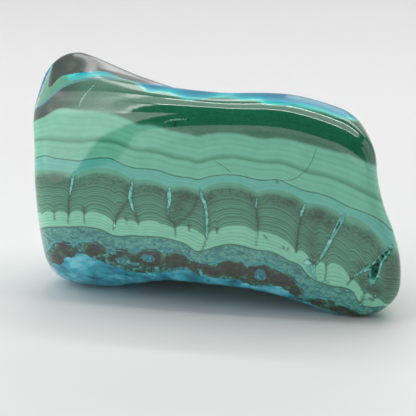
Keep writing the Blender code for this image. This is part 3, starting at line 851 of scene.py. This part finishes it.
def mossy_layer(nodes, place, bed, colour):
    """The mossy grey teal layer, bluer below, with thin wavy lines near its top."""
    in_moss = nodes.within(bed, (1.02, 1.06), (1.92, 1.96))
    moss = nodes.noise(place, 0.62, 6, (0.8, 1, 1.5), 0.68, 1.6)
    colour = nodes.mix(in_moss, colour, nodes.ramp(moss, MOSS))
    colour = nodes.mix(nodes.times(nodes.step(1.3, 1.04, bed), in_moss, 0.55), colour, BASE_BLUE)
    off_line = nodes.maths("ABSOLUTE", nodes.less(nodes.plus(bed, nodes.sway(0.5, place, 0.7, 3)), 1.84))
    wisp = nodes.times(nodes.step(0.026, 0.008, off_line), nodes.step(0.47, 0.56, nodes.noise(place, 0.4)))
    return nodes.mix(nodes.times(wisp, in_moss, 0.75), colour, LINE_GREEN)


def nodule_band(nodes, place, bed, colour):
    """A mottled ground with a blue line on top, and brown nodules with green halos and blue spots.

    Returns the colour, and where the bodies of the nodules are.
    """
    mottle = nodes.noise(place, 0.8, 6, rough=0.7, warp=0.8)
    about = nodes.less(mottle, 0.5)
    colour = nodes.mix(nodes.within(bed, (-0.03, 0.02), (0.97, 1.0)), colour, nodes.ramp(mottle, BAND_GROUND))
    wobble = nodes.plus(nodes.sway(2.2, place, 0.3, 3), nodes.times(about, 0.7))
    nodule = nodes.plus(nodes.value("nodule"), wobble)
    near_band = nodes.within(bed, (-0.3, -0.15), (1.1, 1.2))
    outline = nodes.times(nodes.within(nodule, (0.28, 0.38), (0.4, 0.5)), near_band)
    outline = nodes.times(outline, nodes.step(0.45, 0.55, mottle), 0.6)
    colour = nodes.mix(outline, colour, NODULE_OUTLINE)
    halo = nodes.times(nodes.step(0.36, 0.26, nodule), near_band)
    colour = nodes.mix(halo, colour, nodes.ramp(mottle, HALO))
    body = nodes.times(nodes.step(0.04, -0.16, nodule), near_band)
    colour = nodes.mix(body, colour, nodes.ramp(nodes.noise(place, 1.3, 5, rough=0.7), NODULE_BODY))
    spot = nodes.plus(nodes.value("spot"), nodes.times(wobble, 0.5), nodes.times(about, 1.2))
    colour = nodes.mix(nodes.times(nodes.step(0.2, 0.08, spot), 0.7), colour, SPOT_RIM)
    colour = nodes.mix(nodes.step(0.1, -0.06, spot), colour, nodes.ramp(mottle, SPOT_BODY))
    broken = nodes.step(0.42, 0.58, nodes.noise(place, 0.25))
    blue_top = nodes.times(nodes.within(bed, (0.985, 1.0), (1.02, 1.05)), broken)
    return nodes.mix(blue_top, colour, BAND_TOP_BLUE), body


def blue_base(nodes, place, bed, body, colour):
    """The blue base: deep and light patches with dark specks, round the nodules that reach down into it."""
    patches = nodes.noise(place, 0.22, 5, (1, 0.7, 1.9), 0.62)
    patches = nodes.plus(patches, nodes.times(nodes.value("cloud"), 0.13))
    specks = nodes.step(0.6, 0.66, nodes.noise(place, 0.8, 4, (0.7, 0.7, 2.6), 0.6))
    blue = nodes.mix(nodes.times(specks, 0.8), nodes.ramp(patches, BASE_PATCHES), BASE_SPECK)
    in_base = nodes.times(nodes.step(0.0, -0.04, bed), nodes.less(1.0, body))
    return nodes.mix(in_base, colour, blue)


def cap_and_horn(nodes, place, bed, left, fine_ripple, colour):
    """The mint rim and the blue cap, the dark horn beyond it, and the blue and pale rim of the left end."""
    cap = nodes.plus(nodes.value("cap"), nodes.times(fine_ripple, 0.25))
    tone = nodes.ramp(nodes.noise(place, 0.22, 4), CAP_TONE)
    colour = nodes.mix(nodes.step(7.99, 8.0, bed), colour, nodes.tint(1.0, nodes.ramp(cap, CAP, 0, 6), tone))
    horn = nodes.ramp(nodes.noise(place, 0.3, 5, (1, 1, 0.5), 0.65), HORN)
    colour = nodes.mix(nodes.step(8.99, 9.01, bed), colour, horn)
    colour = nodes.mix(nodes.times(nodes.value("blue_line"), 0.7), colour, BLUE_LINE)
    in_end = nodes.times(nodes.within(bed, (7.99, 8.02), (8.7, 8.9)), nodes.step(-37.6, -37.9, left))
    return nodes.mix(in_end, colour, nodes.ramp(left, LEFT_RIM, -43, -36))


def seams_and_veins(nodes, place, bed, fine_ripple, colour):
    """Dark seams and hairlines, cyan veins with a dark edge, and the mottled walls of the vugs.

    Returns the colour, and where the veins and the vugs are.
    """
    colour = nodes.mix(nodes.times(nodes.value("seam"), 0.75), colour, SEAM_DARK)
    hair = nodes.step(0.13, 0.05, nodes.maths("ABSOLUTE", nodes.value("hair")))
    colour = nodes.mix(nodes.times(hair, nodes.value("hair_on"), 0.7), colour, LINE_GREEN)
    vein = nodes.plus(nodes.value("vein"), nodes.times(fine_ripple, 0.5))
    colour = nodes.mix(nodes.times(nodes.step(-0.3, -0.02, vein), 0.5), colour, BLACK_GREEN)
    in_vein = nodes.step(-0.04, 0.05, vein)
    body = nodes.ramp(nodes.noise(place, 0.9, 3), VEIN_BODY)
    colour = nodes.mix(in_vein, colour, nodes.mix(nodes.step(6.9, 7.1, bed), body, SCRATCH))
    in_vug = nodes.step(0.05, 0.4, nodes.value("vug"))
    walls = nodes.ramp(nodes.noise(place, 1.0, 4, rough=0.7), VUG_BODY)
    return nodes.mix(in_vug, colour, walls), in_vein, in_vug


def polish(nodes, left, height, in_vein, in_vug):
    """Roughness: duller on the horn, the blue cap and the upper left, and hardly any polish in the vugs."""
    high = nodes.step(36 * MM, 41 * MM, height)
    dull_left = nodes.times(nodes.step(-14, -27, left), high, 0.13)
    dull_cap = nodes.times(nodes.step(1.0, 1.8, nodes.value("cap")), 0.12)
    dull = nodes.maths("MAXIMUM", dull_left, dull_cap)
    return nodes.plus(dull, 0.06, nodes.times(in_vug, 0.45), nodes.times(in_vein, 0.08))


def stone_colours():
    """A node group that paints the whole stone, layer by layer, with its polish and its finest relief."""
    group = bpy.data.node_groups.new("stone_colours", "ShaderNodeTree")
    for name, kind in (("Colour", "Color"), ("Roughness", "Float"), ("Height", "Float")):
        group.interface.new_socket(name, in_out="OUTPUT", socket_type="NodeSocket" + kind)
    result = group.nodes.new("NodeGroupOutput")
    nodes = Nodes(group)
    place = group.nodes.new("ShaderNodeTexCoord").outputs["Object"]
    along = nodes.spread(place)
    ripple, fine_ripple = nodes.sway(1.0, place, 0.55, 3), nodes.sway(1.0, place, 2.6, 2)
    # The place along x in millimetres, a little wavy, and the bed, with edges that are ragged in low layers
    left = nodes.plus(nodes.maths("DIVIDE", along["X"], MM), nodes.times(ripple, 1.2))
    bed = nodes.plus(nodes.value("bed"), nodes.times(ripple, 0.05), nodes.times(fine_ripple, 0.014))
    ragged = nodes.times(nodes.sway(0.5, place, 0.42, 5, rough=0.6), nodes.step(1.3, 0.6, bed))
    bed = nodes.plus(bed, ragged)
    colour = plain_layers(nodes, place, bed)
    colour = growth_lines(nodes, place, bed, colour)
    colour = dark_clouds(nodes, place, bed, left, colour)
    colour = mossy_layer(nodes, place, bed, colour)
    colour, body = nodule_band(nodes, place, bed, colour)
    colour = blue_base(nodes, place, bed, body, colour)
    colour = cap_and_horn(nodes, place, bed, left, fine_ripple, colour)
    colour, in_vein, in_vug = seams_and_veins(nodes, place, bed, fine_ripple, colour)
    nodes.put(result.inputs["Colour"], colour)
    nodes.put(result.inputs["Roughness"], polish(nodes, left, along["Z"], in_vein, in_vug))
    nodes.put(result.inputs["Height"], nodes.less(nodes.noise(place, 0.5, 2), nodes.times(in_vein, 0.6)))
    return group


def polished_mineral(name, colours, refraction, gleam):
    """A polished mineral of the given index of refraction and gleam, painted by the stone's colours."""
    material = bpy.data.materials.new(name)
    material.use_nodes = True
    tree = material.node_tree
    shader, nodes = tree.nodes["Principled BSDF"], Nodes(tree)
    paint = tree.nodes.new("ShaderNodeGroup")
    paint.node_tree = colours
    bump = {"Distance": 0.02 * MM, "Strength": 0.5, "Height": paint.outputs["Height"]}
    nodes.put(shader.inputs["Normal"], nodes.add("Bump", bump).outputs["Normal"])
    nodes.put(shader.inputs["Base Color"], paint.outputs["Colour"])
    nodes.put(shader.inputs["Roughness"], paint.outputs["Roughness"])
    shader.inputs["IOR"].default_value = refraction
    shader.inputs["Specular IOR Level"].default_value = gleam
    return material


def paper_with_painted_shade():
    """Matt paper, a little greyer towards the back: painted light and shade, lighter at the front and darker
    towards the back wall, in place of the fall of the light.
    """
    material = bpy.data.materials.new("paper_with_painted_shade")
    material.use_nodes = True
    tree = material.node_tree
    shader = tree.nodes["Principled BSDF"]
    nodes = Nodes(tree)
    along = nodes.spread(tree.nodes.new("ShaderNodeTexCoord").outputs["Object"])
    # The grey along y paints light and shade: lighter at the front, greyer towards the back.
    stops = [(place, (grey, grey, grey, 1)) for place, grey in PAPER_PAINTED_SHADE]
    nodes.put(shader.inputs["Base Color"], nodes.ramp(along["Y"], stops, -0.5, 0.5))
    shader.inputs["Roughness"].default_value = 0.6
    shader.inputs["Specular IOR Level"].default_value = 0.2
    return material


# The table and the sweep behind it, in metres: a floor that curves up into a wall
SWEEP_WIDTH = 1.6
SWEEP_FRONT, SWEEP_BACK = -0.55, 0.55
SWEEP_CURVE, SWEEP_HEIGHT = 0.35, 1.0
# Its grey along y: painted light and shade, light at the front and greyer towards the back wall, in place of
# the fall of the light
PAPER_PAINTED_SHADE = [(-0.05, 0.92), (0.1, 0.82), (0.3, 0.755)]


def sweep():
    """A strip of paper: flat, then a quarter circle, then upright, carried along x."""
    turn = np.linspace(0, np.pi / 2, 24)
    y = np.concatenate([[SWEEP_FRONT], SWEEP_BACK + SWEEP_CURVE * np.sin(turn), [SWEEP_BACK + SWEEP_CURVE]])
    z = np.concatenate([[0], SWEEP_CURVE * (1 - np.cos(turn)), [SWEEP_HEIGHT]])
    rows = [np.stack([np.full_like(y, x), y, z], -1) for x in (-SWEEP_WIDTH / 2, SWEEP_WIDTH / 2)]
    points = np.concatenate(rows)
    n = len(y)
    faces = [(i, n + i, n + i + 1, i + 1) for i in range(n - 1)]
    mesh = bpy.data.meshes.new("sweep")
    mesh.from_pydata(points.tolist(), [], faces)
    mesh.shade_smooth()
    mesh.materials.append(paper_with_painted_shade())
    floor = bpy.data.objects.new("sweep", mesh)
    bpy.context.scene.collection.objects.link(floor)


# The light tent round the stone: each glowing panel's name, centre and two half sides, in metres, and its
# radiance, where the paper shows white at about 0.8. The front of the tent is open and stays dark.
PANELS = [
    ("ceiling", (0.0, 0.185, 0.600), (0.50, 0, 0), (0, 0.175, 0), 1.4),
    ("ceiling_left", (-0.555, -0.123, 0.63), (0.096, 0.187, 0), (-0.169, 0.087, 0), 1.5),
    ("ceiling_left_back", (-0.580, 0.28, 0.63), (0.08, 0, 0), (0, 0.16, 0), 1.3),
    ("strip_back", (0.1125, 0.340, 0.590), (0.3475, 0, 0), (0, 0.013, 0), 14.0),
    ("strip_back_corner", (-0.270, 0.265, 0.590), (0.013, 0.110, 0), (0.008, -0.001, 0), 3.0),
    ("strip_back_left", (-0.380, -0.070, 0.590), (0.080, 0.210, 0), (0.012, -0.005, 0), 2.4),
    ("strip_front", (0.094, -0.005, 0.590), (0.366, 0, 0), (0, 0.009, 0), 13.0),
    ("strip_front_left", (-0.3775, -0.215, 0.590), (0.0875, 0.170, 0), (0.009, -0.0045, 0), 3.5),
    ("back_glow", (0.08, 0.640, 0.440), (0.34, 0, 0), (0, 0.03, 0.13), 1.8),
    ("back_low", (0.0, 0.66, 0.235), (0.10, 0, 0), (0, 0.02, 0.065), 2.0),
    ("back_left", (-0.36, 0.60, 0.60), (0.32, 0, 0), (0, 0.14, -0.12), 0.38),
    ("left_front_card", (-0.46, -0.35, 0.30), (0.115, -0.135, 0), (0, 0, 0.34), 1.6),
    ("left_wall", (-0.64, 0.18, 0.26), (0, 0.42, 0), (0, 0, 0.32), 1.1),
    ("right_wall", (0.64, 0.25, 0.26), (0, 0.35, 0), (0, 0, 0.32), 0.75),
    ("right_front_card", (0.58, -0.26, 0.20), (0.03, 0.14, 0), (0, 0, 0.24), 0.6),
    ("front_kerb", (0.15, -0.56, 0.065), (0.45, 0, 0), (0, 0, 0.065), 0.95),
]
# The glow of that dark
DARK_FRONT = 0.04


def panel(name, centre, along, across, radiance):
    """A rectangular light whose glowing side faces the stone; its power is pi x area x radiance."""
    centre, along, across = (np.array(row, float) for row in (centre, along, across))
    if np.dot(np.cross(along, across), centre) < 0:
        across = -across
    length, width = np.linalg.norm(along), np.linalg.norm(across)
    light = bpy.data.lights.new(name, "AREA")
    light.shape = "RECTANGLE"
    light.size, light.size_y = 2 * length, 2 * width
    light.energy = math.pi * 4 * length * width * radiance
    lamp = bpy.data.objects.new(name, light)
    axes = np.eye(4)
    axes[:3, 0], axes[:3, 1] = along / length, across / width
    axes[:3, 2] = np.cross(axes[:3, 0], axes[:3, 1])
    axes[:3, 3] = centre
    lamp.matrix_world = Matrix(axes.tolist())
    bpy.context.scene.collection.objects.link(lamp)


def lights():
    """All the panels, and the dark of the room in front of the tent."""
    for row in PANELS:
        panel(*row)
    world = bpy.data.worlds.new("studio")
    world.use_nodes = True
    world.node_tree.nodes["Background"].inputs["Color"].default_value = (DARK_FRONT,) * 3 + (1,)
    bpy.context.scene.world = world


# The camera, in the drawing's millimetres: what it looks at, from how far, and how much it frames there
AIM = (0.0, 0.0, 22.5)
AZIMUTH, ELEVATION = math.radians(14), math.radians(15)
CAMERA_DISTANCE, FRAMED_WIDTH = 420.0, 85.0
SENSOR = 36.0


def camera(scale, shift):
    """Looks at the front face from a little to the right and above."""
    data = bpy.data.cameras.new("camera")
    data.sensor_width = SENSOR
    data.lens = SENSOR * CAMERA_DISTANCE / FRAMED_WIDTH
    data.clip_start = 0.01
    seat = bpy.data.objects.new("camera", data)
    flat = math.cos(ELEVATION)
    back = np.array([math.sin(AZIMUTH) * flat, -math.cos(AZIMUTH) * flat, math.sin(ELEVATION)])
    seat.location = np.array(AIM) * scale + shift + back * CAMERA_DISTANCE * scale.mean()
    seat.rotation_euler = (math.pi / 2 - ELEVATION, 0, AZIMUTH)
    bpy.context.scene.collection.objects.link(seat)
    bpy.context.scene.camera = seat


scale, shift = stone_piece()
camera(scale, shift)
sweep()
lights()
bpy.context.scene.view_settings.view_transform = "Standard"
